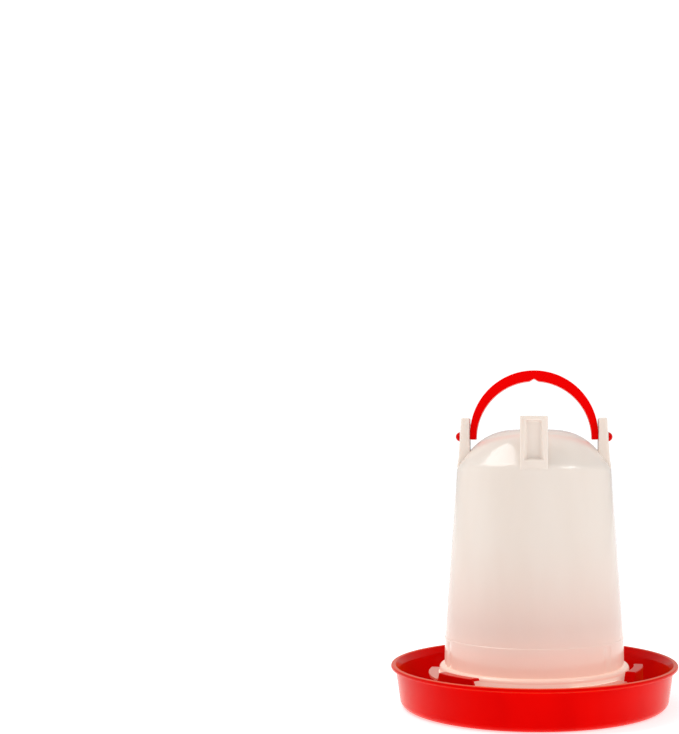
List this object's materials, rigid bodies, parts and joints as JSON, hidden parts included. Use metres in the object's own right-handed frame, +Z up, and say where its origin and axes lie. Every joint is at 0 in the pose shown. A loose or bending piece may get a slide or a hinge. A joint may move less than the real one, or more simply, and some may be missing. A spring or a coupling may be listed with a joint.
{
  "type": "poultry waterer fount",
  "caption": "Siphon drinker for poultry: domed translucent tank with a swinging bail, turned and locked into a round red drinking tray by a bayonet.",
  "frame": {"origin": "centre of the tray's underside, on the surface that the fount stands on", "axes": "+Z up along the axis of the tank and tray; +X through the right-hand end of the bail; -Y towards the front"},
  "size_m": [0.3, 0.3, 0.3496],
  "materials": {
    "red_plastic": "smooth glossy moulded polypropylene",
    "milky_plastic": "translucent milky polyethylene, satin",
    "bail_plastic": "smooth glossy moulded polypropylene",
    "cap_plastic": "polished moulded polypropylene"
  },
  "bodies": {
    "tray": {"tray": "red_plastic"},
    "tank": {"tank": "milky_plastic"},
    "bail": {"bail": "bail_plastic", "pivot_cap_left": "cap_plastic", "pivot_cap_right": "cap_plastic"}
  },
  "joints": [
    {"name": "tank_turn", "type": "hinge", "parent": "tray", "child": "tank", "pos_m": [0, 0, 0.003], "axis": [0, 0, 1], "range_deg": [-75, 2.5]},
    {"name": "bail_swing", "type": "hinge", "parent": "tank", "child": "bail", "pos_m": [0, 0, 0.2798], "axis": [1, 0, 0], "range_deg": [-64, 64]}
  ]
}
